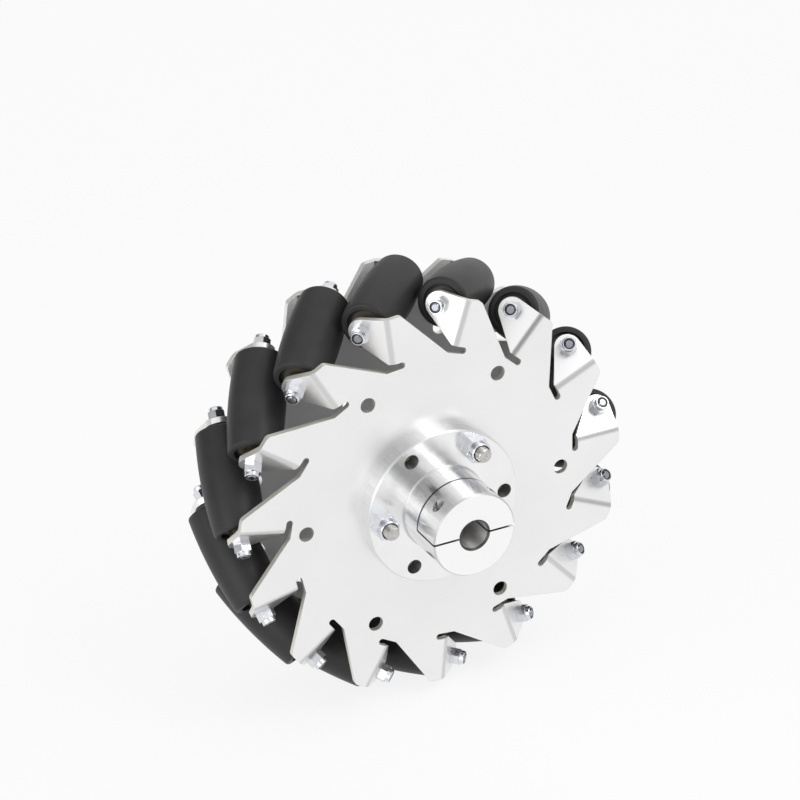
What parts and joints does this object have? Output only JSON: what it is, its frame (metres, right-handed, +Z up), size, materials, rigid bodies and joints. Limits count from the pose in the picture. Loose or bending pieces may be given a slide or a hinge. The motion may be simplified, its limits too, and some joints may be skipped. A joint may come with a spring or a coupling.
{
  "type": "mecanum wheel",
  "caption": "Omnidirectional robot drive wheel: tilted barrel rollers turn freely between two bent-tab side plates, and a flanged split hub clamps on the shaft.",
  "frame": {"origin": "wheel centre, on the wheel's axis midway between the two side plates", "axes": "+Z up, the wheel's axis along Y, the clamping hub towards -Y; roller 1 is the one that crosses +X"},
  "size_m": [0.1523, 0.075, 0.1524],
  "materials": {
    "plate": "satin rolled sheet",
    "hub": "bright turned",
    "spacer": "turned",
    "screw": "blackened",
    "bolt": "zinc plated",
    "nut": "bright zinc plated",
    "nut_ring": "plain nylon",
    "washer": "plain nylon",
    "tread": "moulded satin",
    "core": "moulded nylon",
    "bush": "sintered"
  },
  "bodies": {
    "wheel": {"front_plate": "plate", "rear_plate": "plate", "hub": "hub", "clamp_cap": "hub", "clamp_screws": "screw", "spacers": "spacer", "hub_bolts": "bolt", "hub_nuts": "nut", "hub_nut_rings": "nut_ring", "axle_studs": "bolt", "axle_nuts_front": "nut", "axle_nuts_rear": "nut", "axle_nut_rings": "nut_ring", "washers_front": "washer", "washers_rear": "washer"},
    "roller_01": {"tread_01": "tread", "core_01": "core", "bushes_01": "bush"},
    "roller_02": {"tread_02": "tread", "core_02": "core", "bushes_02": "bush"},
    "roller_03": {"tread_03": "tread", "core_03": "core", "bushes_03": "bush"},
    "roller_04": {"tread_04": "tread", "core_04": "core", "bushes_04": "bush"},
    "roller_05": {"tread_05": "tread", "core_05": "core", "bushes_05": "bush"},
    "roller_06": {"tread_06": "tread", "core_06": "core", "bushes_06": "bush"},
    "roller_07": {"tread_07": "tread", "core_07": "core", "bushes_07": "bush"},
    "roller_08": {"tread_08": "tread", "core_08": "core", "bushes_08": "bush"},
    "roller_09": {"tread_09": "tread", "core_09": "core", "bushes_09": "bush"},
    "roller_10": {"tread_10": "tread", "core_10": "core", "bushes_10": "bush"},
    "roller_11": {"tread_11": "tread", "core_11": "core", "bushes_11": "bush"},
    "roller_12": {"tread_12": "tread", "core_12": "core", "bushes_12": "bush"},
    "roller_13": {"tread_13": "tread", "core_13": "core", "bushes_13": "bush"},
    "roller_14": {"tread_14": "tread", "core_14": "core", "bushes_14": "bush"},
    "roller_15": {"tread_15": "tread", "core_15": "core", "bushes_15": "bush"}
  },
  "joints": [
    {"name": "roller_01_spin", "type": "hinge", "parent": "wheel", "child": "roller_01", "pos_m": [0.0666, 0, 0], "axis": [0, 0.7071, -0.7071], "continuous": true},
    {"name": "roller_02_spin", "type": "hinge", "parent": "wheel", "child": "roller_02", "pos_m": [0.06084, 0, 0.02709], "axis": [0.2876, 0.7071, -0.646], "continuous": true},
    {"name": "roller_03_spin", "type": "hinge", "parent": "wheel", "child": "roller_03", "pos_m": [0.04456, 0, 0.04949], "axis": [0.5255, 0.7071, -0.4731], "continuous": true},
    {"name": "roller_04_spin", "type": "hinge", "parent": "wheel", "child": "roller_04", "pos_m": [0.02058, 0, 0.06334], "axis": [0.6725, 0.7071, -0.2185], "continuous": true},
    {"name": "roller_05_spin", "type": "hinge", "parent": "wheel", "child": "roller_05", "pos_m": [-0.00696, 0, 0.06624], "axis": [0.7032, 0.7071, 0.0739], "continuous": true},
    {"name": "roller_06_spin", "type": "hinge", "parent": "wheel", "child": "roller_06", "pos_m": [-0.0333, 0, 0.05768], "axis": [0.6124, 0.7071, 0.3536], "continuous": true},
    {"name": "roller_07_spin", "type": "hinge", "parent": "wheel", "child": "roller_07", "pos_m": [-0.05388, 0, 0.03915], "axis": [0.4156, 0.7071, 0.5721], "continuous": true},
    {"name": "roller_08_spin", "type": "hinge", "parent": "wheel", "child": "roller_08", "pos_m": [-0.06514, 0, 0.01385], "axis": [0.147, 0.7071, 0.6917], "continuous": true},
    {"name": "roller_09_spin", "type": "hinge", "parent": "wheel", "child": "roller_09", "pos_m": [-0.06514, 0, -0.01385], "axis": [-0.147, 0.7071, 0.6917], "continuous": true},
    {"name": "roller_10_spin", "type": "hinge", "parent": "wheel", "child": "roller_10", "pos_m": [-0.05388, 0, -0.03915], "axis": [-0.4156, 0.7071, 0.5721], "continuous": true},
    {"name": "roller_11_spin", "type": "hinge", "parent": "wheel", "child": "roller_11", "pos_m": [-0.0333, 0, -0.05768], "axis": [-0.6124, 0.7071, 0.3536], "continuous": true},
    {"name": "roller_12_spin", "type": "hinge", "parent": "wheel", "child": "roller_12", "pos_m": [-0.00696, 0, -0.06624], "axis": [-0.7032, 0.7071, 0.0739], "continuous": true},
    {"name": "roller_13_spin", "type": "hinge", "parent": "wheel", "child": "roller_13", "pos_m": [0.02058, 0, -0.06334], "axis": [-0.6725, 0.7071, -0.2185], "continuous": true},
    {"name": "roller_14_spin", "type": "hinge", "parent": "wheel", "child": "roller_14", "pos_m": [0.04456, 0, -0.04949], "axis": [-0.5255, 0.7071, -0.4731], "continuous": true},
    {"name": "roller_15_spin", "type": "hinge", "parent": "wheel", "child": "roller_15", "pos_m": [0.06084, 0, -0.02709], "axis": [-0.2876, 0.7071, -0.646], "continuous": true}
  ]
}
